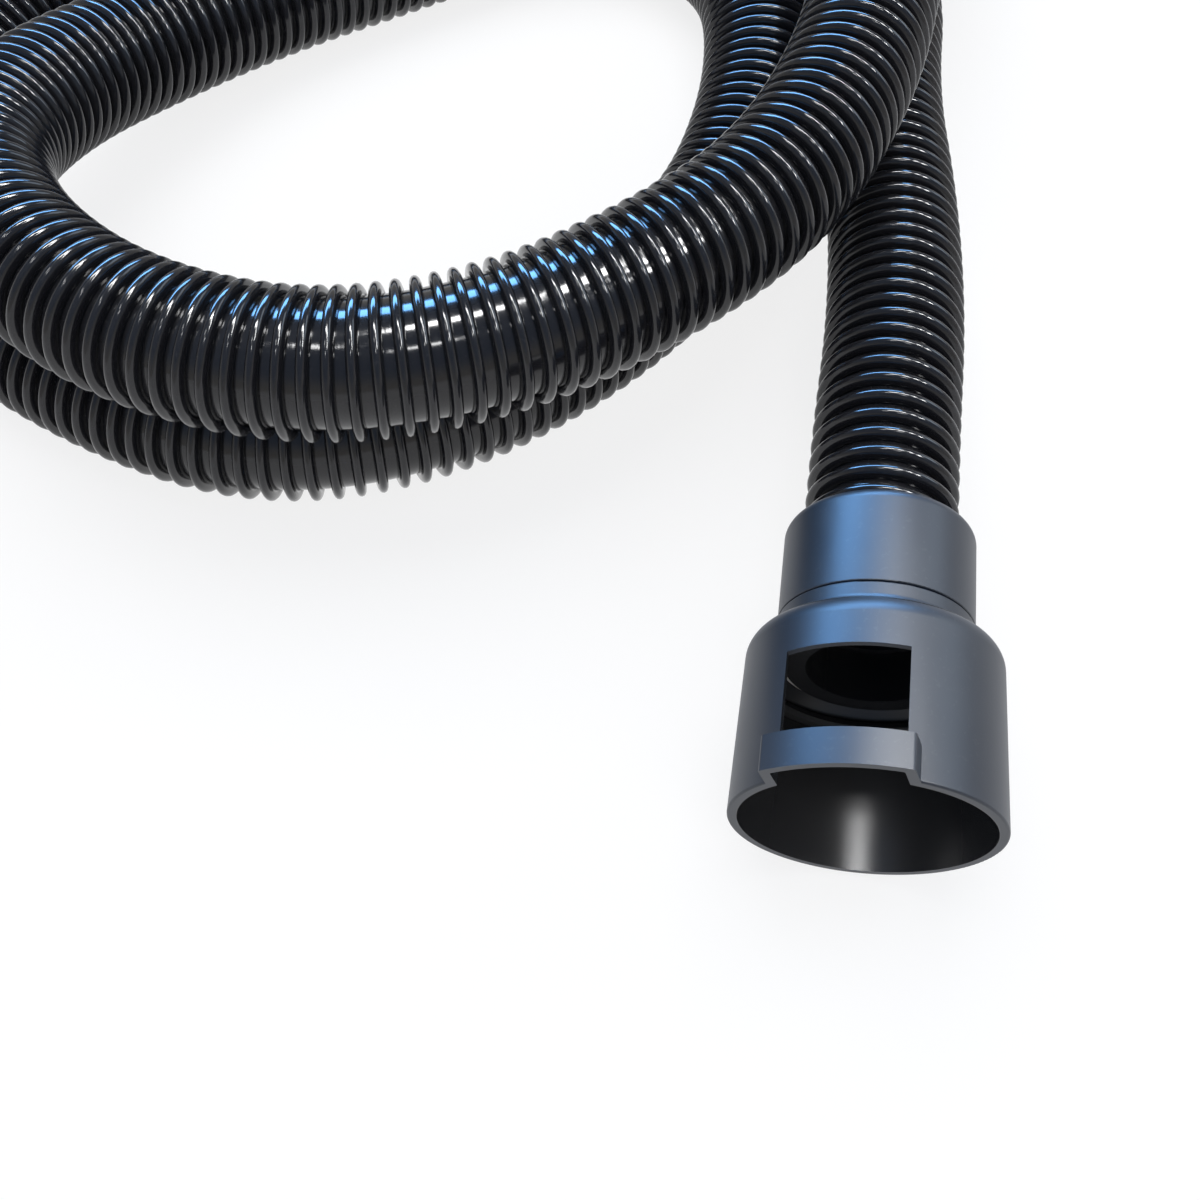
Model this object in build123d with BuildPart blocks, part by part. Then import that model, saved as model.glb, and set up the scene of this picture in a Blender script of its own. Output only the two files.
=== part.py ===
"""Vacuum hose with a swivelling machine-end cuff and a swivelling tool-end cuff.

Millimetres. Z is up and the hose lies coiled on a level floor. The origin is the centre of the
machine-end mouth: the mouth looks along -Y and the hose leaves its cuff along +Y.
"""
import os
from math import atan2, degrees, radians, tan

from build123d import *

# ---- machine-end cuff: a mouth, a shoulder and a hub that turns on the neck sleeve ----
MOUTH_R = 38.0               # outside radius at the rim
MOUTH_WALL = 2.8
MOUTH_BORE_R = MOUTH_R - MOUTH_WALL
DRAFT = 0.020                # outside radius lost per millimetre towards the hose
SHOULDER_Y = 54.05           # where the drafted wall would meet the shoulder's face
SHOULDER_LEAN = 0.179        # lean of the face towards the hose, per millimetre of its width
HUB_LENGTH = 7.85            # hub beyond the shoulder
HUB_END_Y = SHOULDER_Y + HUB_LENGTH
HUB_EDGE = 0.4               # rounds at the parting line
RIM_ROUND = 0.7
SHOULDER_SETBACK = 6.55
SEAT_Y = SHOULDER_Y - SHOULDER_SETBACK      # end of the seal pocket
SEAL_POCKET = 4.3            # length of the pocket that the mouth seal sits in
POCKET_DEPTH = 0.6
BORE_END_Y = SEAT_Y - SEAL_POCKET           # end of the straight bore
CONE_LENGTH = 5.0
HUB_FACE_Y = SEAT_Y + CONE_LENGTH           # inside face the glide washer runs on

# latch window and the raised bridge over the latch channel
LATCH_TURN = -20.5           # degrees about +Y from straight up
BRIDGE_LENGTH = 10.0         # from the rim back to the window
BRIDGE_RISE = 6.8            # above the rim
BRIDGE_T = 2.5
BRIDGE_W = 39.8
BRIDGE_SIDE = 2.8
BRIDGE_ROUND = 1.2
CHANNEL_ROUND = 0.8
WINDOW_W = 33.4
WINDOW_LENGTH = 28.0
BRIDGE_OUT_R = MOUTH_R + BRIDGE_RISE
WALL_MID_R = MOUTH_BORE_R + MOUTH_WALL / 2
CUTTER = 2 * BRIDGE_OUT_R    # longer than anything it cuts

# ---- hose ----
HOSE_R = 23.5                # over the ribs
HOSE_WALL = 4.5              # ribs and web together
HOSE_BORE_R = HOSE_R - HOSE_WALL
HOSE_LENGTH = 2500.0         # cut length, socket to socket
FLOOR_Z = -MOUTH_R
LIE = FLOOR_Z + HOSE_R       # centre height on the floor
CROSSING_GAP = 1.5
OVER = LIE + 2 * HOSE_R + CROSSING_GAP      # centre height on top of another run

# ---- neck sleeve and its fits ----
SOCKET_CLEAR = 0.3           # hose to sleeve, ferrule to hose
RUNNING = 0.05               # radial clearance of a turning fit
PART_GAP = 0.3               # gap at the parting line
SLIDE_GAP = 0.1              # beside and round a sprung ring or a washer
SLEEVE_WALL = 4.9
HUB_WALL = 3.0
NECK_R = HOSE_R + SOCKET_CLEAR + SLEEVE_WALL
SPIGOT_R = NECK_R - HUB_WALL
AIRWAY_STEP = 0.5
AIRWAY_R = HOSE_BORE_R + AIRWAY_STEP
SOCKET_SETBACK = 4.1         # web between the hub's end and the hose socket
SOCKET_DEPTH = 28.3
SOCKET_Y = HUB_END_Y + SOCKET_SETBACK
SLEEVE_END_Y = SOCKET_Y + SOCKET_DEPTH
SLEEVE_ROUND = 3.7
HOSE_END_GAP = 0.5           # hose end to socket floor
FERRULE_WALL = 1.5
FERRULE_LENGTH = 21.0
FLANGE_WIDTH = 2.2           # stop flange beyond the hose bore
FLANGE_T = 1.6
FLANGE_SEAT = 1.8

# swivel: washer against the hub face, ring in a spigot groove, seal in another groove
WASHER_T = 1.05
WASHER_WIDTH = 3.9
RING_T = 1.6
RING_BITE = 1.5              # how far the ring sits in the spigot
RING_STAND = 2.2             # how far it stands out of it
RING_SLOT = 5.0              # opening that lets it be sprung on
SPIGOT_LIP = 1.6             # spigot beyond the ring
SEAL_R = 0.72
SEAL_GROOVE_DEPTH = 1.5
SEAL_GROOVE_HALF = 1.0
SEAL_SETBACK = 4.9
SEAL_REST = 0.02             # seal to groove floor
WASHER_Y1 = HUB_FACE_Y - SLIDE_GAP
WASHER_Y0 = WASHER_Y1 - WASHER_T
RING_Y1 = WASHER_Y0 - SLIDE_GAP
RING_Y0 = RING_Y1 - RING_T
SPIGOT_END_Y = RING_Y0 - SPIGOT_LIP
SEAL_Y = HUB_END_Y - SEAL_SETBACK
CONE_CLEAR = 1.4             # cone's small end beyond the washer

# ---- tool-end cuff, measured from its tip ----
TIP_R = 17.5                 # straight tip that tools push on to
TIP_WALL = 2.5
TIP_BORE_R = TIP_R - TIP_WALL
TIP_LENGTH = 40.0
TIP_ROUND = 0.8
FLARE_LENGTH = 18.0
COLLAR_STEP = 1.3            # collar below the sleeve
HUB_STEP = 0.6               # hub below the sleeve
COLLAR_ROUND = 4.0
TOOL_HUB_LENGTH = 20.0
TOOL_HUB_WALL = 6.3          # from the neck's outside to the spigot in the hub
TOOL_SPIGOT_R = NECK_R - TOOL_HUB_WALL
TOOL_SPIGOT_WALL = 4.4
TOOL_SPIGOT_LENGTH = 16.0
SPIGOT_RELIEF = 2.0          # free length in front of the spigot
AIRWAY_TAPER = 4.0
TOOL_WASHER_T = 1.2
TOOL_WASHER_GAP = 0.15
TOOL_SOCKET_DEPTH = 22.0
TOOL_RING_SETBACK = 5.0
TOOL_RING_BITE = 1.3
TOOL_RING_STAND = 1.9
TOOL_GROOVE_CLEAR = 0.3
TOOL_SEAL_SETBACK = 5.0
TOOL_WEB = 4.5               # hub end to socket floor
COLLAR_Y = TIP_LENGTH + FLARE_LENGTH
TOOL_HUB_END = COLLAR_Y + TOOL_HUB_LENGTH
TOOL_AIRWAY_R = TOOL_SPIGOT_R - TOOL_SPIGOT_WALL
TOOL_SPIGOT_END = TOOL_HUB_END - TOOL_SPIGOT_LENGTH
TOOL_RING_Y = TOOL_SPIGOT_END + TOOL_RING_SETBACK
TOOL_RING_IN_R = TOOL_SPIGOT_R - TOOL_RING_BITE
TOOL_RING_OUT_R = TOOL_SPIGOT_R + TOOL_RING_STAND
TOOL_SEAL_Y = TOOL_HUB_END - TOOL_SEAL_SETBACK
TOOL_SOCKET = TOOL_HUB_END + TOOL_WEB
TOOL_SLEEVE_END = TOOL_SOCKET + TOOL_SOCKET_DEPTH
TOOL_LIE = FLOOR_Z + NECK_R + PART_GAP      # centre height of the tool cuff on the floor


def revolved(points, *rounds):
    """Turn a closed (radius, y) outline about the Y axis; rounds are (radius, y, fillet)."""
    with BuildPart() as turned:
        with BuildSketch(Plane.XY) as section:
            with BuildLine():
                Polyline(*points, close=True)
            make_face()
            for r, y, size in rounds:
                fillet(section.vertices().sort_by_distance((r, y, 0))[0], size)
        revolve(axis=Axis.Y)
    return turned.part


def torus_ring(centre_r, y, section_r):
    """A round-section ring about the Y axis."""
    with BuildPart() as ring:
        with BuildSketch(Plane.XY):
            with Locations((centre_r, y)):
                Circle(section_r)
        revolve(axis=Axis.Y)
    return ring.part


def sleeve_outline(face, end, socket, spigot_r, spigot_end, airway, groove, seal_y):
    """Closed outline of a neck sleeve: hose socket behind its face, turning spigot in front.

    groove is the ring groove's (first y, last y, floor radius).
    """
    groove_y0, groove_y1, groove_floor = groove
    hose_socket_r = HOSE_R + SOCKET_CLEAR
    flange_seat_r = HOSE_BORE_R + FLANGE_WIDTH + SOCKET_CLEAR
    seal_floor = spigot_r - SEAL_GROOVE_DEPTH
    return [
        (NECK_R, face), (NECK_R, end), (hose_socket_r, end), (hose_socket_r, socket),
        (flange_seat_r, socket), (flange_seat_r, socket - FLANGE_SEAT),
        (airway, socket - FLANGE_SEAT), (airway, spigot_end), (spigot_r, spigot_end),
        (spigot_r, groove_y0), (groove_floor, groove_y0), (groove_floor, groove_y1),
        (spigot_r, groove_y1), (spigot_r, seal_y - SEAL_GROOVE_HALF),
        (seal_floor, seal_y - SEAL_GROOVE_HALF), (seal_floor, seal_y + SEAL_GROOVE_HALF),
        (spigot_r, seal_y + SEAL_GROOVE_HALF), (spigot_r, face),
    ]


def split_ring(inner, outer, y0, y1):
    """A flat ring with a slot, so it can be sprung over the spigot."""
    with BuildPart() as ring:
        with BuildSketch(Plane.XZ.offset(-y0)):
            Circle(outer)
            Circle(inner, mode=Mode.SUBTRACT)
            with Locations((0, -(inner + outer) / 2)):
                Rectangle(RING_SLOT, 2 * (outer - inner), mode=Mode.SUBTRACT)
        extrude(amount=-(y1 - y0))
    return ring.part


def flat_ring(inner, outer, y0, y1):
    """A plain washer about the Y axis."""
    return revolved([(inner, y0), (outer, y0), (outer, y1), (inner, y1)])


def ferrule(start):
    """Tube that backs the hose wall inside the socket, with a stop flange."""
    tube_r = HOSE_BORE_R - SOCKET_CLEAR
    bore_r = tube_r - FERRULE_WALL
    flange_r = HOSE_BORE_R + FLANGE_WIDTH
    return revolved([
        (bore_r, start - FLANGE_T), (flange_r, start - FLANGE_T), (flange_r, start),
        (tube_r, start), (tube_r, start + FERRULE_LENGTH), (bore_r, start + FERRULE_LENGTH),
    ])


def groove_seal(spigot_r, y):
    """Round-section ring resting on the floor of a spigot's seal groove."""
    return torus_ring(spigot_r - SEAL_GROOVE_DEPTH + SEAL_R + SEAL_REST, y, SEAL_R)


# ================= machine-end cuff =================
shoulder_r = MOUTH_R - DRAFT * SHOULDER_Y
shoulder_w = shoulder_r - NECK_R
neck_y = SHOULDER_Y + SHOULDER_LEAN * shoulder_w
hub_bore_r = SPIGOT_R + RUNNING
pocket_r = MOUTH_BORE_R + POCKET_DEPTH
with BuildPart() as mouth_shell:
    # the two big rounds share the shoulder's face between them
    add(revolved(
        [(MOUTH_BORE_R, 0), (MOUTH_R, 0), (shoulder_r, SHOULDER_Y), (NECK_R, neck_y),
         (NECK_R, HUB_END_Y), (hub_bore_r, HUB_END_Y), (hub_bore_r, HUB_FACE_Y),
         (SPIGOT_R + WASHER_WIDTH + CONE_CLEAR, HUB_FACE_Y), (pocket_r, SEAT_Y),
         (pocket_r, BORE_END_Y), (MOUTH_BORE_R, BORE_END_Y)],
        (MOUTH_R, 0, RIM_ROUND),
        (shoulder_r, SHOULDER_Y, 0.876 * shoulder_w),
        (NECK_R, neck_y, 0.353 * shoulder_w),
        (NECK_R, HUB_END_Y, HUB_EDGE),
    ))
    # bridge: an arched band and its two upright sides, standing over the channel
    with BuildSketch(Plane.XZ) as bridge:
        Circle(BRIDGE_OUT_R)
        with Locations((0, CUTTER / 2)):
            Rectangle(BRIDGE_W, CUTTER, mode=Mode.INTERSECT)
        fillet(bridge.vertices().group_by(Axis.Z)[-1], BRIDGE_ROUND)
        Circle(WALL_MID_R, mode=Mode.SUBTRACT)
    extrude(amount=-BRIDGE_LENGTH)
    with BuildSketch(Plane.XZ) as channel:
        Circle(BRIDGE_OUT_R - BRIDGE_T)
        with Locations((0, CUTTER / 2)):
            Rectangle(BRIDGE_W - 2 * BRIDGE_SIDE, CUTTER, mode=Mode.INTERSECT)
        fillet(channel.vertices().group_by(Axis.Z)[-1], CHANNEL_ROUND)
    extrude(amount=-BRIDGE_LENGTH, mode=Mode.SUBTRACT)
    with BuildSketch(Plane.XY):
        with Locations((0, BRIDGE_LENGTH + WINDOW_LENGTH / 2)):
            Rectangle(WINDOW_W, WINDOW_LENGTH)
    extrude(amount=CUTTER, mode=Mode.SUBTRACT)

with BuildPart() as machine_sleeve:
    add(revolved(
        sleeve_outline(HUB_END_Y + PART_GAP, SLEEVE_END_Y, SOCKET_Y, SPIGOT_R, SPIGOT_END_Y,
                       AIRWAY_R,
                       (RING_Y0 - SLIDE_GAP, RING_Y1 + SLIDE_GAP,
                        SPIGOT_R - RING_BITE - SLIDE_GAP), SEAL_Y),
        (NECK_R, SLEEVE_END_Y, SLEEVE_ROUND),
        (NECK_R, HUB_END_Y + PART_GAP, HUB_EDGE),
    ))

with BuildPart() as machine_retaining_ring:
    add(split_ring(SPIGOT_R - RING_BITE, SPIGOT_R + RING_STAND, RING_Y0, RING_Y1))

with BuildPart() as machine_glide_washer:
    add(flat_ring(SPIGOT_R + SLIDE_GAP, SPIGOT_R + WASHER_WIDTH, WASHER_Y0, WASHER_Y1))

with BuildPart() as machine_swivel_seal:
    add(groove_seal(SPIGOT_R, SEAL_Y))

with BuildPart() as machine_ferrule:
    add(ferrule(SOCKET_Y))

# lip seal: a flat back in the pocket and a lip that leans into the bore
SEAL_BACK = 1.6
SEAL_LIP = 2.6
seal_y0 = BORE_END_Y + SLIDE_GAP
seal_y1 = SEAT_Y - SLIDE_GAP
with BuildPart() as mouth_seal:
    add(revolved([
        (pocket_r - RUNNING, seal_y0), (pocket_r - RUNNING, seal_y1),
        (MOUTH_BORE_R - SEAL_BACK, seal_y1), (MOUTH_BORE_R - SEAL_LIP, (seal_y0 + seal_y1) / 2),
        (MOUTH_BORE_R - SEAL_BACK, seal_y0 + SEAL_BACK / 2),
    ]))

# ================= hose =================
# Corner points of the lie, from the machine-end socket to the tool-end socket.
hose_points = [
    # out of the machine cuff, sinking slowly to the floor, straight away from it
    (0, SOCKET_Y + HOSE_END_GAP, 0), (0, 126, 0), (3, 186, LIE + 8), (1, 246, LIE + 2),
    (-7, 308, LIE),
    # outer turn, round the back and down the left side
    (-5, 372, LIE), (-33, 426, LIE), (-86, 455, LIE), (-146, 460, LIE), (-206, 450, LIE),
    (-262, 422, LIE), (-312, 382, LIE), (-350, 330, LIE), (-370, 270, LIE), (-364, 208, LIE),
    (-325, 158, LIE), (-266, 128, LIE), (-206, 113, LIE), (-150, 130, LIE), (-99, 175, LIE),
    # up inside the first run and round the tight back corner
    (-64, 230, LIE), (-52, 292, LIE), (-55, 350, LIE), (-70, 384, LIE), (-99, 406, LIE),
    (-134, 411, LIE), (-168, 401, LIE), (-214, 366, LIE),
    # climbing down the left side to lie on top of the outer turn
    (-257, 331, LIE + 2.5), (-292, 286, LIE + 10.5), (-312, 236, LIE + 26.5),
    (-314, 184, OVER - 6),
    (-284, 142, OVER), (-237, 114, OVER), (-178, 106, OVER), (-124, 124, OVER),
    (-78, 160, OVER), (-42, 202, OVER), (-21, 262, OVER), (-15, 322, OVER),
    # off the back of the pile and down to the tool cuff
    (0, 377, OVER + 1), (10, 420, OVER - 14), (11, 457, TOOL_LIE + 9),
    (-8, 494, TOOL_LIE + 2), (-43, 515, TOOL_LIE), (-83, 515, TOOL_LIE),
]


def corner_radii(points):
    """Radius for every inner corner: each arc takes 45% of the shorter run beside it."""
    radii = []
    for before, here, after in zip(points, points[1:], points[2:]):
        come = Vector(*here) - Vector(*before)
        leave = Vector(*after) - Vector(*here)
        half_turn = radians(come.get_angle(leave) / 2)
        radii.append(0.45 * min(come.length, leave.length) / tan(half_turn))
    return radii


bend_radii = corner_radii(hose_points)
print("hose bend radii:", [round(r) for r in bend_radii])
with BuildLine() as hose_line:
    FilletPolyline(*hose_points, radius=bend_radii)
hose_edges = hose_line.wires()[0].edges()
hose_run = sum(edge.length for edge in hose_edges)
print("hose length:", round(hose_run, 1), "of", HOSE_LENGTH)


def hose_span(first, last):
    """Hollow hose solid along edges first to last of the hose line."""
    with BuildPart() as span:
        path = Wire(hose_edges[first:last])
        with BuildSketch(Plane(origin=path @ 0, z_dir=path % 0)):
            Circle(HOSE_R)
            Circle(HOSE_BORE_R, mode=Mode.SUBTRACT)
        sweep(path=path)
    return span.part


with BuildPart() as hose_lead:
    add(hose_span(0, 8))
with BuildPart() as hose_outer_turn:
    add(hose_span(8, 38))
with BuildPart() as hose_inner_turn:
    add(hose_span(38, 58))
with BuildPart() as hose_upper_turn:
    add(hose_span(58, 78))
with BuildPart() as hose_tail:
    add(hose_span(78, len(hose_edges)))

# ================= tool-end cuff =================
# Built along Y from its tip, then set on the end of the hose.
tool_hub_r = NECK_R - HUB_STEP
tool_bore_r = TOOL_SPIGOT_R + RUNNING
tool_groove_half = RING_T / 2 + TOOL_GROOVE_CLEAR
tool_groove_r = TOOL_RING_OUT_R + TOOL_GROOVE_CLEAR
relief_y = TOOL_SPIGOT_END - SPIGOT_RELIEF
with BuildPart() as tool_cuff:
    add(revolved(
        [(TIP_BORE_R, 0), (TIP_R, 0), (TIP_R, TIP_LENGTH), (NECK_R - COLLAR_STEP, COLLAR_Y),
         (tool_hub_r, TOOL_HUB_END), (tool_bore_r, TOOL_HUB_END),
         (tool_bore_r, TOOL_RING_Y + tool_groove_half),
         (tool_groove_r, TOOL_RING_Y + tool_groove_half),
         (tool_groove_r, TOOL_RING_Y - tool_groove_half),
         (tool_bore_r, TOOL_RING_Y - tool_groove_half),
         (tool_bore_r, relief_y), (TOOL_AIRWAY_R, relief_y - AIRWAY_TAPER),
         (TIP_BORE_R, TIP_LENGTH)],
        (TIP_R, 0, TIP_ROUND),
        (TIP_R, TIP_LENGTH, COLLAR_ROUND),
        (NECK_R - COLLAR_STEP, COLLAR_Y, COLLAR_ROUND),
        (tool_hub_r, TOOL_HUB_END, HUB_EDGE),
    ))

washer_start = TOOL_HUB_END + TOOL_WASHER_GAP
washer_end = washer_start + TOOL_WASHER_T
with BuildPart() as tool_sleeve:
    add(revolved(
        sleeve_outline(washer_end + TOOL_WASHER_GAP, TOOL_SLEEVE_END, TOOL_SOCKET,
                       TOOL_SPIGOT_R, TOOL_SPIGOT_END, TOOL_AIRWAY_R,
                       (TOOL_RING_Y - RING_T / 2 - SLIDE_GAP,
                        TOOL_RING_Y + RING_T / 2 + SLIDE_GAP, TOOL_RING_IN_R - SLIDE_GAP),
                       TOOL_SEAL_Y),
        (NECK_R, TOOL_SLEEVE_END, SLEEVE_ROUND),
    ))

with BuildPart() as tool_retaining_ring:
    add(split_ring(TOOL_RING_IN_R, TOOL_RING_OUT_R,
                   TOOL_RING_Y - RING_T / 2, TOOL_RING_Y + RING_T / 2))

with BuildPart() as tool_glide_washer:
    add(flat_ring(TOOL_SPIGOT_R + SLIDE_GAP, tool_hub_r - SLIDE_GAP, washer_start, washer_end))

with BuildPart() as tool_swivel_seal:
    add(groove_seal(TOOL_SPIGOT_R, TOOL_SEAL_Y))

with BuildPart() as tool_ferrule:
    add(ferrule(TOOL_SOCKET))

# the last run of the hose points at the tool; its cut end stands just off the socket floor
end = Vector(*hose_points[-1])
heading = (end - Vector(*hose_points[-2])).normalized()
tip = end + heading * (TOOL_SOCKET + HOSE_END_GAP)
turn = degrees(atan2(heading.Y, heading.X)) + 90
on_the_hose = Location((tip.X, tip.Y, tip.Z), (0, 0, turn))
print("tool cuff tip:", [round(v, 3) for v in tuple(tip)], "turned", round(turn, 4))
print("tool cuff axis, hose to tip:", [round(v, 6) for v in tuple(heading)])

# ================= export =================
latch = Rot(0, LATCH_TURN, 0)
solids = {
    "mouth_shell": latch * mouth_shell.part,
    "machine_sleeve": machine_sleeve.part,
    "machine_retaining_ring": machine_retaining_ring.part,
    "machine_glide_washer": machine_glide_washer.part,
    "machine_swivel_seal": machine_swivel_seal.part,
    "machine_ferrule": machine_ferrule.part,
    "mouth_seal": mouth_seal.part,
    "hose_lead": hose_lead.part,
    "hose_outer_turn": hose_outer_turn.part,
    "hose_inner_turn": hose_inner_turn.part,
    "hose_upper_turn": hose_upper_turn.part,
    "hose_tail": hose_tail.part,
    "tool_cuff": on_the_hose * tool_cuff.part,
    "tool_sleeve": on_the_hose * tool_sleeve.part,
    "tool_retaining_ring": on_the_hose * tool_retaining_ring.part,
    "tool_glide_washer": on_the_hose * tool_glide_washer.part,
    "tool_swivel_seal": on_the_hose * tool_swivel_seal.part,
    "tool_ferrule": on_the_hose * tool_ferrule.part,
}
os.makedirs("parts", exist_ok=True)
for name, solid in solids.items():
    solid.label = name
    export_step(solid, f"parts/{name}.step")
    box = solid.bounding_box()
    print(f"{name}: {solid.volume:.0f} mm3, x {box.min.X:.1f}..{box.max.X:.1f}, "
          f"y {box.min.Y:.1f}..{box.max.Y:.1f}, z {box.min.Z:.1f}..{box.max.Z:.1f}")
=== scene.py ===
"""Looks of a looped vacuum hose: ribbed black hose, latching machine cuff and tapered tool cuff."""

import logging
from dataclasses import dataclass, field, replace
from enum import Enum
from math import cos, pi, radians, sin

import bpy
import numpy as np
from mathutils import Matrix, Vector


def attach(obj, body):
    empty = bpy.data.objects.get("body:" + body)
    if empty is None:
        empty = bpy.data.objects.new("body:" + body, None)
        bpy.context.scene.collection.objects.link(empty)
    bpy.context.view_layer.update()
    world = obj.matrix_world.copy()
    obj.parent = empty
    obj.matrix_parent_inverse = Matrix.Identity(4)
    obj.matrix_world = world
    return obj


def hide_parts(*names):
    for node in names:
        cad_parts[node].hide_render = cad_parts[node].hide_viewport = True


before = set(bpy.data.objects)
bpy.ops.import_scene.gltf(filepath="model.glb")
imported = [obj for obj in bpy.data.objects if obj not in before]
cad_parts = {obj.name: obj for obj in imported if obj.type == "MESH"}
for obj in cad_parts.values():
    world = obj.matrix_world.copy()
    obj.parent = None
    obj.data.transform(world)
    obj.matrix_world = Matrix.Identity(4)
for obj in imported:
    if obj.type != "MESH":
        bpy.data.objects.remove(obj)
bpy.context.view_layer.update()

log = logging.getLogger("hose")
MM = 0.001
UNROLLED = "hose_unrolled"

Array = np.ndarray
Colour = tuple[float, float, float]
Triple = tuple[float, float, float]

# numbers of a mix node's two inputs and of its output, by kind
MIX_SOCKETS = {"RGBA": (6, 7, 2), "FLOAT": (2, 3, 0)}
# how fast the mask of the inside's painted shade sets in as a face turns towards the axis
FACING_GAIN = 4.0


# ================= meshes =================
def mesh_object(name: str, points: Array, faces: list[Array], smooth: bool = True) -> bpy.types.Object:
    """Puts a mesh into the scene.

    Args:
        name: the piece's name.
        points: (n, 3) vertices in metres.
        faces: arrays of vertex numbers, each (m, corners) for one number of corners.
        smooth: whether the faces are shaded smooth.

    Returns:
        The new object, at the origin.
    """
    mesh = bpy.data.meshes.new(name)
    mesh.vertices.add(len(points))
    mesh.vertices.foreach_set("co", points.astype(np.float32).ravel())
    corners = np.concatenate([np.full(len(block), block.shape[1]) for block in faces])
    mesh.loops.add(int(corners.sum()))
    mesh.loops.foreach_set("vertex_index", np.concatenate([b.ravel() for b in faces]).astype(np.int32))
    mesh.polygons.add(len(corners))
    starts = np.concatenate([[0], np.cumsum(corners)[:-1]]).astype(np.int32)
    mesh.polygons.foreach_set("loop_start", starts)
    mesh.polygons.foreach_set("use_smooth", np.full(len(corners), smooth))
    mesh.update(calc_edges=True)
    mesh.validate()
    made = bpy.data.objects.new(name, mesh)
    bpy.context.scene.collection.objects.link(made)
    log.info("%s: %d faces", name, len(corners))
    return made


def grid_quads(rows: int, columns: int, wrap_rows: bool, wrap_columns: bool) -> Array:
    """Quads that join a grid of points numbered row by row.

    Args:
        rows: how many rows of points.
        columns: how many points in a row.
        wrap_rows: whether the last row joins the first.
        wrap_columns: whether each row is a closed ring.

    Returns:
        (m, 4) vertex numbers.
    """
    r = np.arange(rows if wrap_rows else rows - 1)
    c = np.arange(columns if wrap_columns else columns - 1)
    r, c = np.meshgrid(r, c, indexing="ij")
    r2, c2 = (r + 1) % rows, (c + 1) % columns
    quads = np.stack([r * columns + c, r * columns + c2, r2 * columns + c2, r2 * columns + c], -1)
    return quads.reshape(-1, 4)


def store_vectors(piece: bpy.types.Object, name: str, values: Array) -> None:
    """Keeps one vector per vertex, for the materials to read.

    Args:
        piece: the mesh object.
        name: the attribute's name.
        values: (n, 3) vectors in metres.
    """
    layer = piece.data.attributes.new(name, "FLOAT_VECTOR", "POINT")
    layer.data.foreach_set("vector", values.astype(np.float32).ravel())


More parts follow.
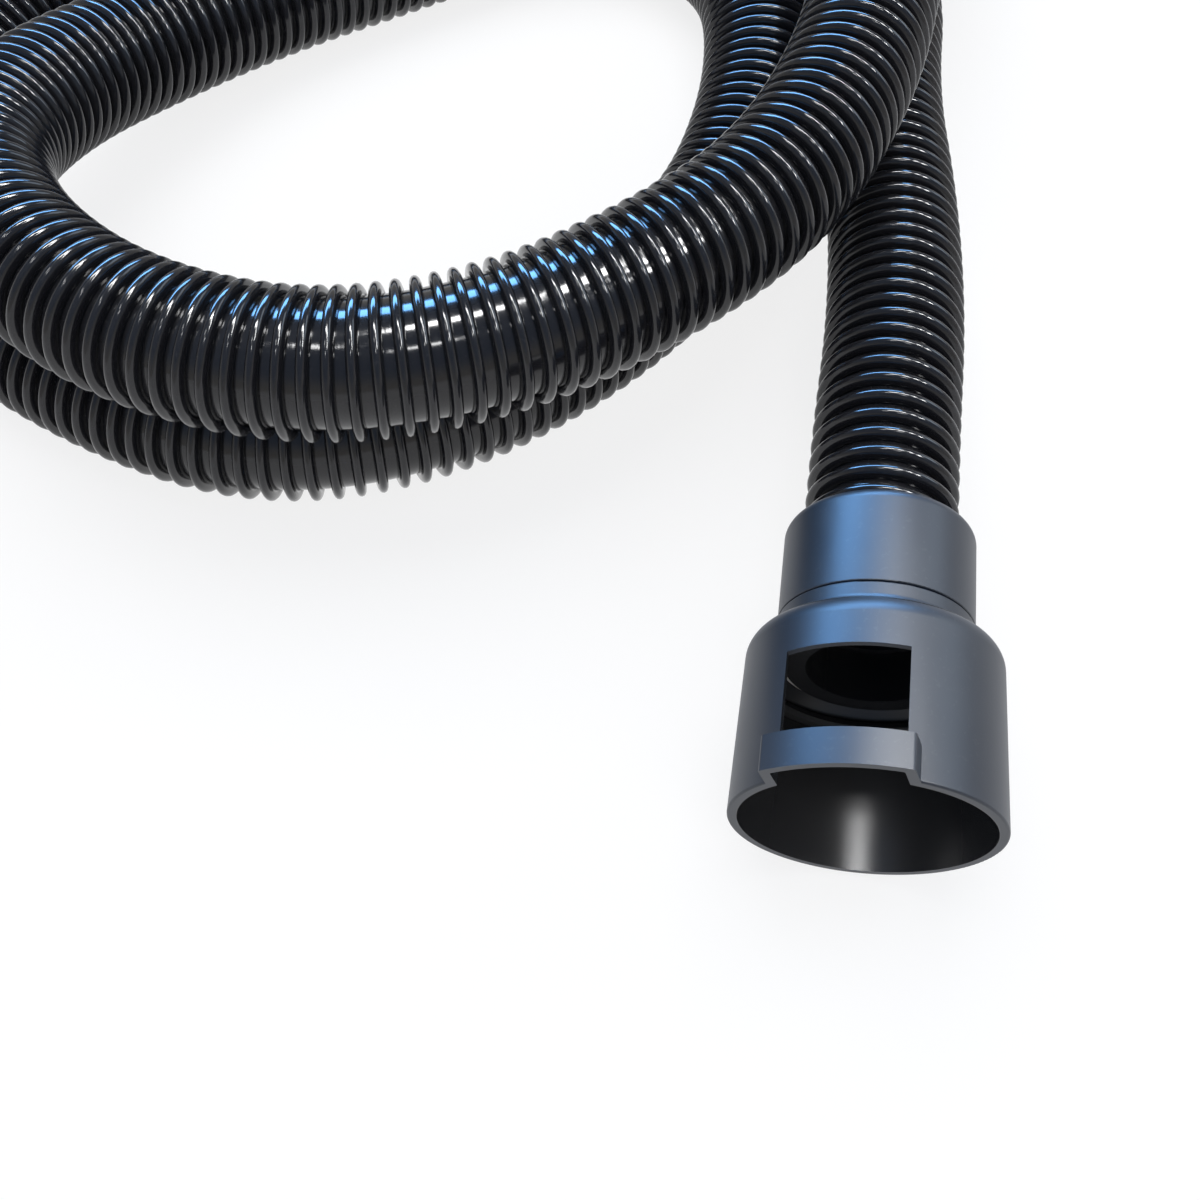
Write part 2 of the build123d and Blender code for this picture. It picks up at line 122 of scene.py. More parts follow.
# ================= shared effects =================
class Effect:
    """A shader node group whose output is a mask or a height."""

    def __init__(self, name: str, inputs: dict[str, float | Triple], output: str) -> None:
        """Starts an empty group.

        Args:
            name: the group's name.
            inputs: names and default values of its number and vector inputs.
            output: name of its one number output.
        """
        self.tree = bpy.data.node_groups.new(name, "ShaderNodeTree")
        for label, value in inputs.items():
            kind = "NodeSocketVector" if isinstance(value, tuple) else "NodeSocketFloat"
            socket = self.tree.interface.new_socket(label, in_out="INPUT", socket_type=kind)
            socket.default_value = value
        self.tree.interface.new_socket(output, in_out="OUTPUT", socket_type="NodeSocketFloat")
        self.start = self.tree.nodes.new("NodeGroupInput")
        self.end = self.tree.nodes.new("NodeGroupOutput")

    def node(self, kind: str, **settings: object) -> bpy.types.Node:
        """Adds a node with some settings.

        Args:
            kind: Blender's type of the node.
            settings: the node's properties by name.

        Returns:
            The new node.
        """
        made = self.tree.nodes.new(kind)
        for key, value in settings.items():
            setattr(made, key, value)
        return made

    def join(self, source: object, target: object) -> None:
        """Links two sockets."""
        self.tree.links.new(source, target)

    def math(self, operation: str, first: object, second: object, clamp: bool = False) -> object:
        """Adds a math node.

        Args:
            operation: Blender's name of the operation.
            first: a socket or a number.
            second: a socket or a number.
            clamp: whether the result is kept between 0 and 1.

        Returns:
            The result's socket.
        """
        made = self.node("ShaderNodeMath", operation=operation, use_clamp=clamp)
        for slot, value in zip(made.inputs, (first, second)):
            if isinstance(value, (int, float)):
                slot.default_value = value
            else:
                self.join(value, slot)
        return made.outputs[0]

    def vector(self, operation: str, first: object, second: object | None = None) -> object:
        """Adds a vector math node.

        Args:
            operation: Blender's name of the operation.
            first: a vector socket.
            second: a vector socket, or a number socket for a scale.

        Returns:
            The result's socket, a number or a vector.
        """
        made = self.node("ShaderNodeVectorMath", operation=operation)
        self.join(first, made.inputs[0])
        if second is not None:
            self.join(second, made.inputs["Scale"] if operation == "SCALE" else made.inputs[1])
        return made.outputs["Value" if operation in ("DOT_PRODUCT", "LENGTH") else "Vector"]

    def noise(self, place: object, scale: object, detail: float, rough: float = 0.5) -> object:
        """Adds a noise texture.

        Args:
            place: a vector socket.
            scale: grains per metre, a socket or a number.
            detail: how many finer layers are added.
            rough: how strong the finer layers are.

        Returns:
            The value socket, about 0.5 on average.
        """
        made = self.node("ShaderNodeTexNoise")
        self.join(place, made.inputs["Vector"])
        if isinstance(scale, (int, float)):
            made.inputs["Scale"].default_value = scale
        else:
            self.join(scale, made.inputs["Scale"])
        made.inputs["Detail"].default_value = detail
        made.inputs["Roughness"].default_value = rough
        return made.outputs["Fac"]

    def stretched(self, place: object, factors: Triple) -> object:
        """Scales a position.

        Args:
            place: a vector socket.
            factors: one factor for each axis.

        Returns:
            The scaled vector socket.
        """
        made = self.node("ShaderNodeMapping")
        self.join(place, made.inputs["Vector"])
        made.inputs["Scale"].default_value = factors
        return made.outputs["Vector"]

    def between(self, value: object, low: float, high: float) -> object:
        """Turns a value into a soft mask.

        Args:
            value: a number socket.
            low: where the mask is still 0.
            high: where the mask becomes 1.

        Returns:
            The mask's socket.
        """
        made = self.node("ShaderNodeMapRange", interpolation_type="SMOOTHSTEP")
        self.join(value, made.inputs["Value"])
        made.inputs["From Min"].default_value = low
        made.inputs["From Max"].default_value = high
        return made.outputs["Result"]

    def finish(self, value: object) -> bpy.types.NodeTree:
        """Sends a value to the output and returns the group."""
        self.join(value, self.end.inputs[0])
        return self.tree


def moulding_grain() -> bpy.types.NodeTree:
    """Fine pebbled texture that a spark-eroded mould leaves, as a height.

    Height = fine grains + 2.5 * broad unevenness.

    Returns:
        The node group.
    """
    effect = Effect("moulding_grain", {"Grains per metre": 1400.0}, "Height")
    place = effect.node("ShaderNodeTexCoord").outputs["Object"]
    fine = effect.noise(place, effect.start.outputs[0], detail=3.0, rough=0.6)
    broad = effect.noise(place, scale=45.0, detail=2.0)
    return effect.finish(effect.math("ADD", fine, effect.math("MULTIPLY", broad, 2.5)))


def handling_marks() -> bpy.types.NodeTree:
    """Soft rubbed patches and a few fine scratches, as a mask.

    Mask = 0.6 * patches + scratches. The scratches are where a noise that is drawn out along Y
    passes its middle value, in a few places only.

    Returns:
        The node group.
    """
    effect = Effect("handling_marks", {"Amount": 1.0}, "Mask")
    place = effect.node("ShaderNodeTexCoord").outputs["Object"]
    rubbed = effect.between(effect.noise(place, scale=22.0, detail=4.0, rough=0.6), low=0.48, high=0.72)
    hair = effect.noise(effect.stretched(place, (60.0, 9.0, 60.0)), scale=9.0, detail=2.0)
    from_middle = effect.math("ABSOLUTE", effect.math("SUBTRACT", hair, 0.5), 0.0)
    scratches = effect.math("SUBTRACT", 1.0, effect.between(from_middle, low=0.0, high=0.012))
    where = effect.between(effect.noise(place, scale=38.0, detail=1.0), low=0.55, high=0.66)
    marks = effect.math("ADD", effect.math("MULTIPLY", rubbed, 0.6),
                        effect.math("MULTIPLY", scratches, where))
    return effect.finish(effect.math("MULTIPLY", marks, effect.start.outputs[0], clamp=True))


def settled_dust() -> bpy.types.NodeTree:
    """Thin film of dust that gathers on faces that look up, as a mask.

    Mask = (0.7 * specks + 0.3 * clouds) * how far the face looks up.

    Returns:
        The node group.
    """
    effect = Effect("settled_dust", {"Amount": 1.0}, "Mask")
    geometry = effect.node("ShaderNodeNewGeometry")
    split = effect.node("ShaderNodeSeparateXYZ")
    effect.join(geometry.outputs["Normal"], split.inputs[0])
    upward = effect.between(split.outputs["Z"], low=0.3, high=1.0)
    place = effect.node("ShaderNodeTexCoord").outputs["Object"]
    specks = effect.between(effect.noise(place, scale=650.0, detail=2.0), low=0.60, high=0.74)
    cloud = effect.between(effect.noise(place, scale=14.0, detail=3.0), low=0.4, high=0.75)
    film = effect.math("ADD", effect.math("MULTIPLY", specks, 0.7), effect.math("MULTIPLY", cloud, 0.3))
    lying = effect.math("MULTIPLY", film, upward)
    return effect.finish(effect.math("MULTIPLY", lying, effect.start.outputs[0], clamp=True))


def inner_shade_mask() -> bpy.types.NodeTree:
    """Mask of what lies inside a round piece, where an even near-black is painted as shade: faces towards
    its axis, and all within its bore.

    Returns:
        The node group.
    """
    effect = Effect("inner_shade_mask", {"Centre": (0.0, 0.0, 0.0), "Axis": (0.0, 1.0, 0.0),
                                   "Bore radius": 0.035, "Bore depth": 0.05}, "Mask")
    centre, axis, bore_r, depth = effect.start.outputs[:4]
    place = effect.node("ShaderNodeTexCoord")
    offset = effect.vector("SUBTRACT", place.outputs["Object"], centre)
    along = effect.vector("DOT_PRODUCT", offset, axis)
    radial = effect.vector("SUBTRACT", offset, effect.vector("SCALE", axis, along))
    facing = effect.vector("DOT_PRODUCT", effect.vector("NORMALIZE", radial), place.outputs["Normal"])
    towards = effect.math("MULTIPLY", facing, -FACING_GAIN, clamp=True)
    within = effect.math("MULTIPLY", effect.math("LESS_THAN", effect.vector("LENGTH", radial), bore_r),
                         effect.math("LESS_THAN", along, depth))
    return effect.finish(effect.math("MAXIMUM", towards, within))


def wound_ripple() -> bpy.types.NodeTree:
    """Small puckers of a wall that was wound hot, drawn out round the hose, as a height.

    Height = puckers + 0.8 * broad sags, both on the hose as if it were straight.

    Returns:
        The node group.
    """
    effect = Effect("wound_ripple", {"Puckers per metre": 240.0}, "Height")
    place = effect.node("ShaderNodeAttribute", attribute_name=UNROLLED).outputs["Vector"]
    drawn = effect.stretched(place, (0.35, 0.35, 1.6))
    puckers = effect.noise(drawn, effect.start.outputs[0], detail=2.0, rough=0.55)
    sags = effect.noise(effect.stretched(place, (1.0, 1.0, 0.6)), scale=90.0, detail=1.0)
    return effect.finish(effect.math("ADD", puckers, effect.math("MULTIPLY", sags, 0.8)))


# ================= finishes =================
DUST_COLOUR: Colour = (0.30, 0.29, 0.27)
DUST_ROUGHNESS = 0.8


class Relief(Enum):
    """What the small relief of a surface comes from."""

    NONE = "smooth"
    MOULDED = "moulded"
    WOUND = "wound"


@dataclass(frozen=True)
class Finish:
    """One material: colours are linear, the relief is in millimetres and the bore in metres."""

    name: str
    colour: Colour
    roughness: float
    worn_colour: Colour
    worn_roughness: float
    gloss: float = 0.5
    dust: float = 0.0
    wear: float = 0.5
    relief: Relief = Relief.NONE
    relief_mm: float = 0.02
    # painted shade: the bore's inside gets an even near-black in place of the shade that falls there
    bore_shade_colour: Colour | None = None
    bore_roughness: float = 0.2
    bore_centre: Triple = (0.0, 0.0, 0.0)
    bore_axis: Triple = (0.0, 1.0, 0.0)
    bore_r: float = 0.0353
    bore_depth: float = 0.0535

    def group(self, tree: bpy.types.NodeTree, effect: str) -> bpy.types.Node:
        """Adds a shared effect to the material's nodes.

        Args:
            tree: the material's nodes.
            effect: the effect's name.

        Returns:
            The group node.
        """
        made = tree.nodes.new("ShaderNodeGroup")
        made.node_tree = bpy.data.node_groups[effect]
        return made

    def mix(self, tree: bpy.types.NodeTree, factor: object, first: object, second: object,
            kind: str) -> object:
        """Blends two colours or two numbers.

        Args:
            tree: the material's nodes.
            factor: socket that says how much of the second is shown.
            first: a socket, a colour or a number.
            second: a socket, a colour or a number.
            kind: "RGBA" or "FLOAT".

        Returns:
            The blended socket.
        """
        made = tree.nodes.new("ShaderNodeMix")
        made.data_type = kind
        a, b, result = MIX_SOCKETS[kind]
        tree.links.new(factor, made.inputs[0])
        for slot, value in ((made.inputs[a], first), (made.inputs[b], second)):
            if isinstance(value, tuple):
                slot.default_value = (*value, 1.0)
            elif isinstance(value, float):
                slot.default_value = value
            else:
                tree.links.new(value, slot)
        return made.outputs[result]

    def make(self) -> bpy.types.Material:
        """Builds the material: wear, then dust, then the smooth inside with its painted shade, over one
        plain shader.

        Returns:
            The material.
        """
        material = bpy.data.materials.new(self.name)
        material.use_nodes = True
        tree = material.node_tree
        shader = tree.nodes["Principled BSDF"]
        shader.inputs["Specular IOR Level"].default_value = self.gloss
        marks = self.group(tree, "handling_marks")
        marks.inputs["Amount"].default_value = self.wear
        colour = self.mix(tree, marks.outputs[0], self.colour, self.worn_colour, "RGBA")
        rough = self.mix(tree, marks.outputs[0], self.roughness, self.worn_roughness, "FLOAT")
        if self.dust > 0:
            dust = self.group(tree, "settled_dust")
            dust.inputs["Amount"].default_value = self.dust
            colour = self.mix(tree, dust.outputs[0], colour, DUST_COLOUR, "RGBA")
            rough = self.mix(tree, dust.outputs[0], rough, DUST_ROUGHNESS, "FLOAT")
        # painted shade: everything inside the bore is coloured an even near-black, and made smoother
        if self.bore_shade_colour is not None:
            bore = self.group(tree, "inner_shade_mask")
            for slot, value in zip(bore.inputs, (self.bore_centre, self.bore_axis, self.bore_r,
                                                 self.bore_depth)):
                slot.default_value = value
            inside = bore.outputs[0]
            colour = self.mix(tree, inside, colour, self.bore_shade_colour, "RGBA")
            rough = self.mix(tree, inside, rough, self.bore_roughness, "FLOAT")
        tree.links.new(colour, shader.inputs["Base Color"])
        tree.links.new(rough, shader.inputs["Roughness"])
        if self.relief is not Relief.NONE:
            effect = "moulding_grain" if self.relief is Relief.MOULDED else "wound_ripple"
            bump = tree.nodes.new("ShaderNodeBump")
            bump.inputs["Strength"].default_value = 1.0
            bump.inputs["Distance"].default_value = self.relief_mm * MM
            tree.links.new(self.group(tree, effect).outputs[0], bump.inputs["Height"])
            tree.links.new(bump.outputs["Normal"], shader.inputs["Normal"])
        log.info("finish %s", self.name)
        return material


# the cuffs' bore colour is painted shade inside the mouth and the sleeve
CUFF = Finish("cuff_slate_plastic", (0.013, 0.018, 0.029), 0.42, (0.024, 0.030, 0.040), 0.50,
              gloss=0.5, dust=0.05, wear=0.6, relief=Relief.MOULDED, relief_mm=0.010,
              bore_shade_colour=(0.020, 0.020, 0.021), bore_roughness=0.27)
TOOL_CUFF = replace(CUFF, name="tool_slate_plastic", bore_centre=(-0.166, 0.515, -0.009),
                    bore_axis=(1.0, 0.0, 0.0), bore_r=0.0152, bore_depth=0.06)
HOSE = Finish("hose_black_plastic", (0.012, 0.012, 0.014), 0.12, (0.016, 0.016, 0.018), 0.22,
              gloss=0.42, dust=0.04, wear=0.4, relief=Relief.WOUND, relief_mm=0.05)
SEAL = Finish("seal_rubber", (0.018, 0.018, 0.018), 0.55, (0.03, 0.03, 0.03), 0.7, gloss=0.4)
RING = Finish("ring_acetal", (0.62, 0.60, 0.55), 0.32, (0.55, 0.52, 0.46), 0.5)
FERRULE = Finish("ferrule_plastic", (0.02, 0.02, 0.021), 0.35, (0.035, 0.035, 0.036), 0.5,
                 relief=Relief.MOULDED, relief_mm=0.008)


# ================= studio =================
@dataclass(frozen=True)
class Lamp:
    """A rectangular lamp that looks at the middle of the object.

    It shows in glossy surfaces if mirrored and lights matt ones if matt.
    """

    name: str
    azimuth: float
    elevation: float
    distance: float
    width: float
    height: float
    radiance: float
    colour: Colour = (1.0, 1.0, 1.0)
    mirrored: bool = True
    matt: bool = True

    def build(self, middle: Vector) -> None:
        """Hangs the lamp.

        The azimuth counts from +Y towards +X, in degrees. Power = radiance * pi * area.

        Args:
            middle: what it looks at.
        """
        data = bpy.data.lights.new(self.name, "AREA")
        data.shape, data.size, data.size_y = "RECTANGLE", self.width, self.height
        data.energy = self.radiance * pi * self.width * self.height
        data.color = self.colour
        lamp = bpy.data.objects.new(self.name, data)
        bpy.context.scene.collection.objects.link(lamp)
        az, el = radians(self.azimuth), radians(self.elevation)
        away = Vector((sin(az) * cos(el), cos(az) * cos(el), sin(el)))
        lamp.location = middle + away * self.distance
        lamp.visible_glossy = self.mirrored
        lamp.visible_diffuse = self.matt
        lamp.rotation_mode = "QUATERNION"
        lamp.rotation_quaternion = (-away).to_track_quat("-Z", "Y")


@dataclass
class Studio:
    """White floor, soft light, a sky-blue window and ceiling lamps for the gloss, and the camera."""

    eye_mm: Triple = (-54.4, -132.3, 350.8)
    forward: Triple = (-0.0684, 0.4807, -0.8742)
    lens_mm: float = 40.26
    sensor_mm: float = 36.0
    floor_z: float = -0.0382
    floor_size: float = 12.0
    floor_colour: Colour = (0.9, 0.9, 0.9)
    shadow_share: float = 0.18
    zenith: Colour = (0.20, 0.27, 0.40)
    horizon: Colour = (0.62, 0.60, 0.56)
    # sines of the elevations between which the horizon's colour turns into the zenith's
    climb_from: float = 0.05
    climb_to: float = 0.60
    middle: Triple = (-0.06, 0.14, 0.0)
    lamps: tuple[Lamp, ...] = (
        Lamp("window", -22, 36, 2.6, 3.0, 0.75, 36, (0.18, 0.48, 1.0), matt=False),
        Lamp("ceiling_1", -8, 79, 2.2, 0.50, 0.27, 66, matt=False),
        Lamp("ceiling_2", 45, 72, 2.3, 0.50, 0.27, 66, matt=False),
        Lamp("ceiling_3", 72, 62, 2.4, 0.50, 0.27, 66, matt=False),
        Lamp("ceiling_4", 92, 52, 2.6, 0.50, 0.27, 66, matt=False),
        Lamp("ceiling_5", 160, 66, 2.4, 0.36, 0.15, 30, matt=False),
        Lamp("ceiling_6", -130, 74, 2.4, 0.36, 0.15, 30, matt=False),
        Lamp("right_wall", 60, 28, 2.6, 1.3, 1.0, 3.6, (0.70, 0.84, 1.0)),
        Lamp("soft_fill", 150, 50, 2.5, 1.4, 1.0, 3.0, (1.0, 0.90, 0.78), mirrored=False),
        Lamp("soft_top", -20, 68, 2.6, 2.4, 2.4, 3.9, mirrored=False),
    )

    def camera(self) -> None:
        """Stands the camera over the mouth, looking down along the hose."""
        data = bpy.data.cameras.new("camera")
        data.lens, data.sensor_width = self.lens_mm, self.sensor_mm
        data.clip_start, data.clip_end = 0.01, 50
        camera = bpy.data.objects.new("camera", data)
        bpy.context.scene.collection.objects.link(camera)
        look = Vector(self.forward).normalized()
        right = look.cross(Vector((0, 0, 1))).normalized()
        up = right.cross(look)
        turn = Matrix((right, up, -look)).transposed()
        camera.matrix_world = Matrix.Translation(Vector(self.eye_mm) * MM) @ turn.to_4x4()
        bpy.context.scene.camera = camera

    def seen_directly(self, tree: bpy.types.NodeTree) -> object:
        """Tells what is looked at, directly or in a mirror, from what is only lit.

        Args:
            tree: the nodes of a material.

        Returns:
            Socket that is 1 for camera, glossy and transmission rays.
        """
        path = tree.nodes.new("ShaderNodeLightPath")
        total = path.outputs["Is Camera Ray"]
        for other in ("Is Glossy Ray", "Is Transmission Ray"):
            add = tree.nodes.new("ShaderNodeMath")
            add.operation, add.use_clamp = "ADD", True
            tree.links.new(total, add.inputs[0])
            tree.links.new(path.outputs[other], add.inputs[1])
            total = add.outputs[0]
        return total

    def floor(self) -> None:
        """Makes the floor: it shows a pale shadow on white."""
        half = self.floor_size / 2
        corners = np.array([(-half, -half, 0), (half, -half, 0), (half, half, 0), (-half, half, 0)])
        corners[:, 2] = self.floor_z
        floor = mesh_object("floor", corners, [np.array([[0, 1, 2, 3]])], smooth=False)
        material = bpy.data.materials.new("floor_white")
        material.use_nodes = True
        tree = material.node_tree
        shader = tree.nodes["Principled BSDF"]
        shader.inputs["Base Color"].default_value = (*self.floor_colour, 1)
        shader.inputs["Roughness"].default_value = 0.9
        shader.inputs["Specular IOR Level"].default_value = 0.0
        glow = tree.nodes.new("ShaderNodeEmission")
        blend = tree.nodes.new("ShaderNodeMixShader")
        share = tree.nodes.new("ShaderNodeMath")
        share.operation = "MULTIPLY"
        share.inputs[1].default_value = 1 - self.shadow_share
        tree.links.new(self.seen_directly(tree), share.inputs[0])
        tree.links.new(share.outputs[0], blend.inputs[0])
        tree.links.new(shader.outputs[0], blend.inputs[1])
        tree.links.new(glow.outputs[0], blend.inputs[2])
        tree.links.new(blend.outputs[0], tree.nodes["Material Output"].inputs["Surface"])
        floor.data.materials.append(material)

    def world(self) -> None:
        """Makes the surroundings: pale at the horizon, darker and bluer overhead."""
        world = bpy.data.worlds.new("studio")
        bpy.context.scene.world = world
        world.use_nodes = True
        tree = world.node_tree
        place = tree.nodes.new("ShaderNodeTexCoord")
        split = tree.nodes.new("ShaderNodeSeparateXYZ")
        tree.links.new(place.outputs["Generated"], split.inputs[0])
        climb = tree.nodes.new("ShaderNodeMapRange")
        climb.interpolation_type = "SMOOTHSTEP"
        tree.links.new(split.outputs["Z"], climb.inputs["Value"])
        climb.inputs["From Min"].default_value = self.climb_from
        climb.inputs["From Max"].default_value = self.climb_to
        sky = tree.nodes.new("ShaderNodeMix")
        sky.data_type = "RGBA"
        low, high, result = MIX_SOCKETS["RGBA"]
        sky.inputs[low].default_value = (*self.horizon, 1)
        sky.inputs[high].default_value = (*self.zenith, 1)
        tree.links.new(climb.outputs["Result"], sky.inputs[0])
        tree.links.new(sky.outputs[result], tree.nodes["Background"].inputs["Color"])
        tree.nodes["Background"].inputs["Strength"].default_value = 1.0

    def build(self) -> None:
        """Makes the floor, the surroundings, the lamps and the camera."""
        self.floor()
        self.world()
        for lamp in self.lamps:
            lamp.build(Vector(self.middle))
        self.camera()
        bpy.context.scene.view_settings.view_transform = "Standard"


# ================= hose =================
FLOOR_Z = -38.0
HOSE_R = 23.5
NECK_R = 28.7
LIE = FLOOR_Z + HOSE_R
OVER = LIE + 2 * HOSE_R + 1.5
TOOL_LIE = FLOOR_Z + NECK_R + 0.3
ROUTE_MM = [
    # out of the machine cuff, sinking slowly to the floor, straight away from it
    (0, 66.5, 0), (0, 126, 0), (3, 186, LIE + 8), (1, 246, LIE + 2), (-7, 308, LIE),
    # outer turn, round the back and down the left side
    (-5, 372, LIE), (-33, 426, LIE), (-86, 455, LIE), (-146, 460, LIE), (-206, 450, LIE),
    (-262, 422, LIE), (-312, 382, LIE), (-350, 330, LIE), (-370, 270, LIE), (-364, 208, LIE),
    (-325, 158, LIE), (-266, 128, LIE), (-206, 113, LIE), (-150, 130, LIE), (-99, 175, LIE),
    # up inside the first run and round the tight back corner
    (-64, 230, LIE), (-52, 292, LIE), (-55, 350, LIE), (-70, 384, LIE), (-99, 406, LIE),
    (-134, 411, LIE), (-168, 401, LIE), (-214, 366, LIE),
    # climbing down the left side to lie on top of the outer turn
    (-257, 331, LIE + 2.5), (-292, 286, LIE + 10.5), (-312, 236, LIE + 26.5),
    (-314, 184, OVER - 6),
    (-284, 142, OVER), (-237, 114, OVER), (-178, 106, OVER), (-124, 124, OVER),
    (-78, 160, OVER), (-42, 202, OVER), (-21, 262, OVER), (-15, 322, OVER),
    # off the back of the pile and down to the tool cuff
    (0, 377, OVER + 1), (10, 420, OVER - 14), (11, 457, TOOL_LIE + 9),
    (-8, 494, TOOL_LIE + 2), (-43, 515, TOOL_LIE), (-83, 515, TOOL_LIE),
]


@dataclass
class RibbedHose:
    """The wound hose: a thin wall with a rounded rib wound round it as a helix. Sizes in mm."""

    crest_r: float = 23.5
    valley_r: float = 19.6
    bore_r: float = 19.0
    rib_width: float = 4.0
    squareness: float = 2.25
    round_segments: int = 56
    profile_points: int = 11
    rib_spans: int = 4
    # steps of the wall along the hose, how deep the rib's foot sits in the wall, and the bare turns
    # at either end
    wall_step: float = 4.0
    rib_foot: float = 0.25
    bare_turns: float = 0.5
    # length over which the direction is taken, so that the corners of the path don't show
    reach: float = 4.0
    # points of the path for each point of the route, and samples of the turn count
    path_resolution: int = 24
    turn_samples: int = 4000
    # how far apart the rib's turns lie, at distances along the hose
    pitch_at: tuple[float, ...] = (0, 300, 800, 2600)
    pitch: tuple[float, ...] = (7.15, 7.0, 6.45, 6.45)
    path: Array = field(init=False)
    run: Array = field(init=False)
    length: float = field(init=False)
    pieces: list[bpy.types.Object] = field(init=False)

    def smooth_path(self) -> Array:
        """Points along the hose's smooth centreline, a NURBS curve of order 3 along the route.

        Returns:
            (n, 3) points in metres, in order from the machine end.
        """
        curve = bpy.data.curves.new("hose_route", "CURVE")
        curve.dimensions = "3D"
        spline = curve.splines.new("NURBS")
        spline.points.add(len(ROUTE_MM) - 1)
        route = np.array([(x * MM, y * MM, z * MM, 1.0) for x, y, z in ROUTE_MM])
        spline.points.foreach_set("co", route.ravel())
        spline.order_u = 3
        spline.use_endpoint_u = True
        spline.resolution_u = self.path_resolution
        holder = bpy.data.objects.new("hose_route", curve)
        bpy.context.scene.collection.objects.link(holder)
        bpy.context.view_layer.update()
        line = bpy.data.meshes.new_from_object(holder)
        points = np.zeros(len(line.vertices) * 3)
        line.vertices.foreach_get("co", points)
        bpy.data.objects.remove(holder)
        bpy.data.meshes.remove(line)
        bpy.data.curves.remove(curve)
        return points.reshape(-1, 3)

    def prepare(self) -> None:
        """Reads the centreline and its length."""
        self.path = self.smooth_path()
        steps = np.linalg.norm(np.diff(self.path, axis=0), axis=1)
        self.run = np.concatenate([[0], np.cumsum(steps)])
        self.length = float(self.run[-1])

    def frames(self, s: Array) -> tuple[Array, Array, Array, Array]:
        """Where the hose runs and which way it faces.

        The side is level, the up direction is square to side and tangent.

        Args:
            s: distances along the hose in metres.

        Returns:
            Centre, tangent, side and up at each distance.
        """
        def at(d: Array) -> Array:
            """Points of the path at distances d."""
            d = np.clip(d, 0, self.length)
            return np.stack([np.interp(d, self.run, self.path[:, k]) for k in range(3)], -1)
        reach = self.reach * MM
        centre = (at(s - reach / 2) + 2 * at(s) + at(s + reach / 2)) / 4
        tangent = at(s + reach) - at(s - reach)
        tangent /= np.linalg.norm(tangent, axis=-1, keepdims=True)
        side = np.cross(tangent, (0, 0, 1))
        side /= np.linalg.norm(side, axis=-1, keepdims=True)
        return centre, tangent, side, np.cross(side, tangent)

    def wall(self) -> bpy.types.Object:
        """The thin wall: an outside ring and a bore ring at each step, closed at both ends.

        A ring is centre + r * (cos a * side + sin a * up).

        Returns:
            The wall.
        """
        count = int(self.length / (self.wall_step * MM))
        s = np.linspace(0, self.length, count)
        centre, _, side, up = self.frames(s)
        centre[0], centre[-1] = self.path[0], self.path[-1]
        angle = np.linspace(0, 2 * pi, self.round_segments, endpoint=False)
        ring = np.cos(angle)[None, :, None] * side[:, None] + np.sin(angle)[None, :, None] * up[:, None]
        outer = centre[:, None] + self.valley_r * MM * ring
        inner = centre[:, None] + self.bore_r * MM * ring
        points = np.concatenate([outer.reshape(-1, 3), inner[::-1].reshape(-1, 3)])
        faces = grid_quads(2 * count, self.round_segments, True, True)[:, ::-1]
        piece = mesh_object("hose_wall", points, [faces])
        flat = self.unrolled(np.repeat(s, len(angle)), np.tile(angle, count), self.valley_r)
        store_vectors(piece, UNROLLED, np.concatenate([flat, flat[::-1]]))
        return piece

    def unrolled(self, s: Array, angle: Array, r: float) -> Array:
        """Places on a straight copy of the hose: (r cos a, r sin a, s), with r in mm."""
        return np.stack([r * MM * np.cos(angle), r * MM * np.sin(angle), s], -1)

    def turns(self) -> tuple[Array, Array]:
        """Turn count against distance: the integral of ds / pitch(s).

        Returns:
            Distances in metres and the turns wound up to each.
        """
        s = np.linspace(0, self.length, self.turn_samples)
        pitch = np.interp(s, np.array(self.pitch_at) * MM, np.array(self.pitch) * MM)
        step = np.diff(s) * (1 / pitch[:-1] + 1 / pitch[1:]) / 2
        return s, np.concatenate([[0], np.cumsum(step)])

    def rib(self, number: int) -> bpy.types.Object:
        """One stretch of the helical rib.

        Across the rib, |x / half width|^n + |y / height|^n = 1, with n the squareness. That section
        is carried along the centreline while it goes round it once for each turn.

        Args:
            number: which stretch, counted from the machine end.

        Returns:
            The rib stretch.
        """
        along, wound = self.turns()
        first_turn, last_turn = self.bare_turns, float(wound[-1]) - self.bare_turns
        first = first_turn + number * (last_turn - first_turn) / self.rib_spans
        last = first_turn + (number + 1) * (last_turn - first_turn) / self.rib_spans
        count = int((last - first) * self.round_segments) + 1
        turn = np.linspace(first, last, count)
        s = np.interp(turn, wound, along)
        centre, tangent, side, up = self.frames(s)
        angle = 2 * pi * turn
        radial = np.cos(angle)[:, None] * side + np.sin(angle)[:, None] * up
        phi = np.linspace(0, pi, self.profile_points)
        power = 2 / self.squareness
        across = -0.5 * self.rib_width * MM * np.sign(np.cos(phi)) * np.abs(np.cos(phi)) ** power
        height = self.valley_r * MM + (self.crest_r - self.valley_r) * MM * np.sin(phi) ** power
        height[0] = height[-1] = (self.valley_r - self.rib_foot) * MM
        points = (centre[:, None] + tangent[:, None] * across[None, :, None]
                  + radial[:, None] * height[None, :, None])
        ring = np.arange(self.profile_points)
        caps = np.stack([ring[::-1], ring + (count - 1) * self.profile_points])
        faces = [grid_quads(count, self.profile_points, False, True), caps]
        piece = mesh_object(f"hose_rib_{number + 1}", points.reshape(-1, 3), faces)
        along_hose = np.tile(across, count) + np.repeat(s, self.profile_points)
        flat = self.unrolled(along_hose, np.repeat(angle, self.profile_points), self.crest_r)
        store_vectors(piece, UNROLLED, flat)
        return piece

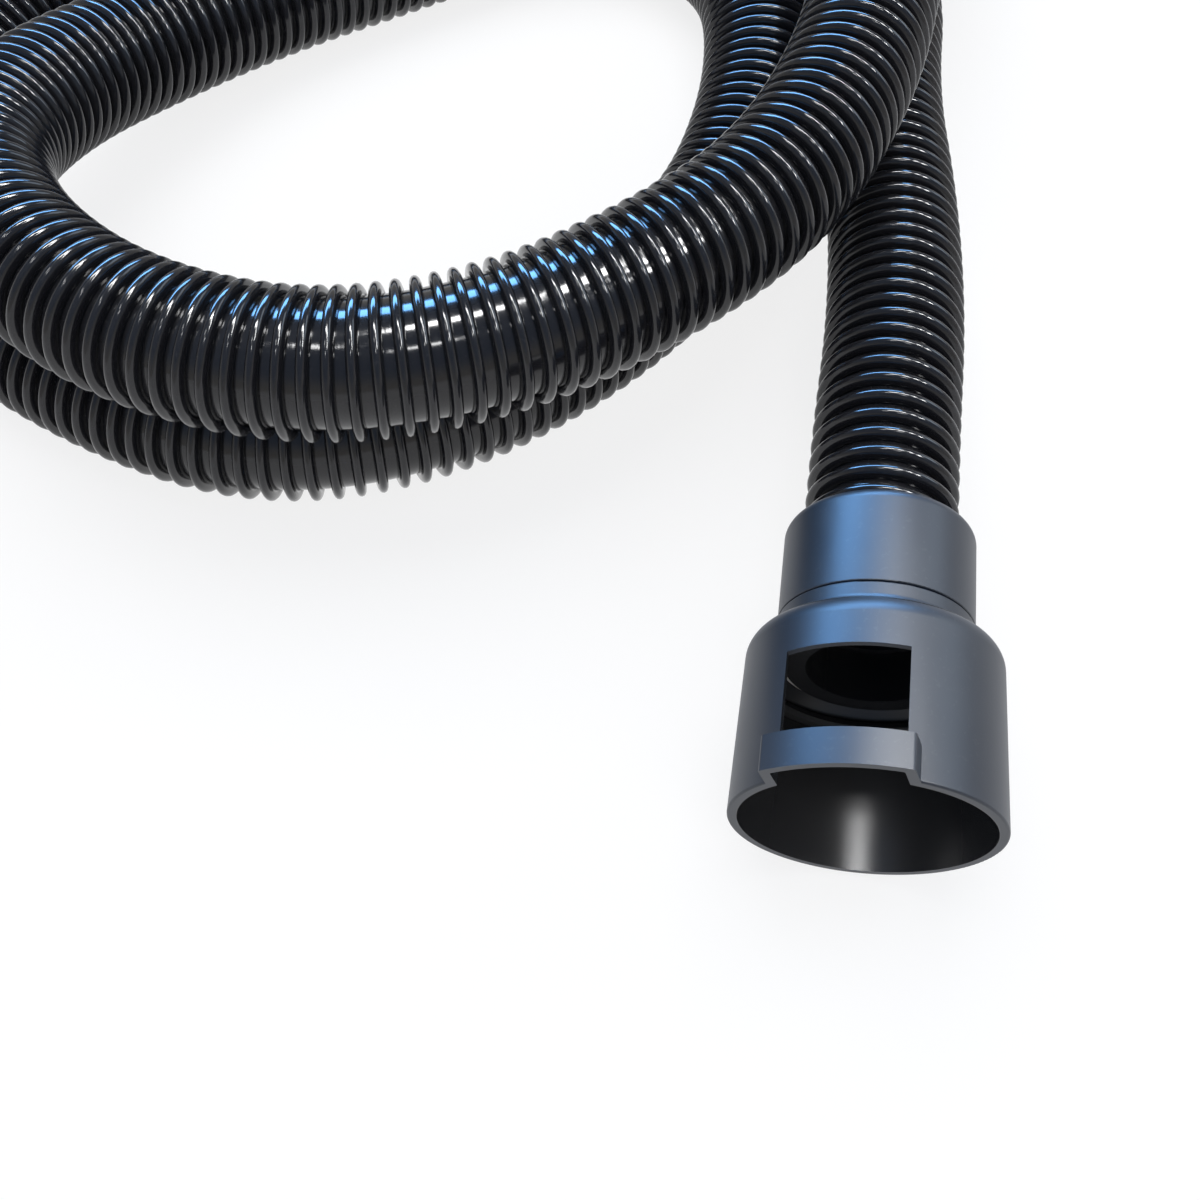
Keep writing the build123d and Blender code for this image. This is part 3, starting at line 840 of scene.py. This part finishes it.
    def build(self) -> None:
        self.prepare()
        wall = self.wall()
        ribs = [self.rib(n) for n in range(self.rib_spans)]
        self.pieces = [wall, *ribs]
        for piece in self.pieces:
            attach(piece, "hose")
        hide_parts("hose_lead", "hose_outer_turn", "hose_inner_turn", "hose_upper_turn", "hose_tail")
        log.info("hose length %.4f", self.length)

    def dress(self) -> None:
        """Gives the hose its black plastic."""
        black = HOSE.make()
        for piece in self.pieces:
            piece.data.materials.append(black)


# ================= ends =================
@dataclass
class SwivelEnd:
    """One end of the hose: the modelled pieces that it is made of and their finishes."""

    finish: Finish
    shells: tuple[str, ...]
    seals: tuple[str, ...]
    rings: tuple[str, ...]
    ferrule: str

    def build(self) -> None:
        """Reports the modelled pieces."""
        for name in (*self.shells, *self.seals, *self.rings, self.ferrule):
            log.info("%s: modelled, %d faces", name, len(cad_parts[name].data.polygons))

    def dress(self, finishes: dict[str, bpy.types.Material]) -> None:
        """Puts the finishes on.

        Args:
            finishes: materials by the kind of piece.
        """
        finishes = {**finishes, "shell": self.finish.make()}
        kinds = {"shell": self.shells, "seal": self.seals, "ring": self.rings, "ferrule": (self.ferrule,)}
        for kind, names in kinds.items():
            for name in names:
                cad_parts[name].material_slots[0].material = finishes[kind]


def main() -> None:
    """Builds everything in order."""
    Studio().build()
    for effect in (moulding_grain, handling_marks, settled_dust, inner_shade_mask, wound_ripple):
        effect()
    hose = RibbedHose()
    hose.build()
    hose.dress()
    finishes = {"seal": SEAL.make(), "ring": RING.make(), "ferrule": FERRULE.make()}
    machine_end = SwivelEnd(CUFF, ("mouth_shell", "machine_sleeve"), ("mouth_seal", "machine_swivel_seal"),
                            ("machine_retaining_ring", "machine_glide_washer"), "machine_ferrule")
    tool_end = SwivelEnd(TOOL_CUFF, ("tool_cuff", "tool_sleeve"), ("tool_swivel_seal",),
                         ("tool_retaining_ring", "tool_glide_washer"), "tool_ferrule")
    for end in (machine_end, tool_end):
        end.build()
        end.dress(finishes)


if __name__ == "__main__":
    logging.basicConfig(level=logging.INFO)
    main()
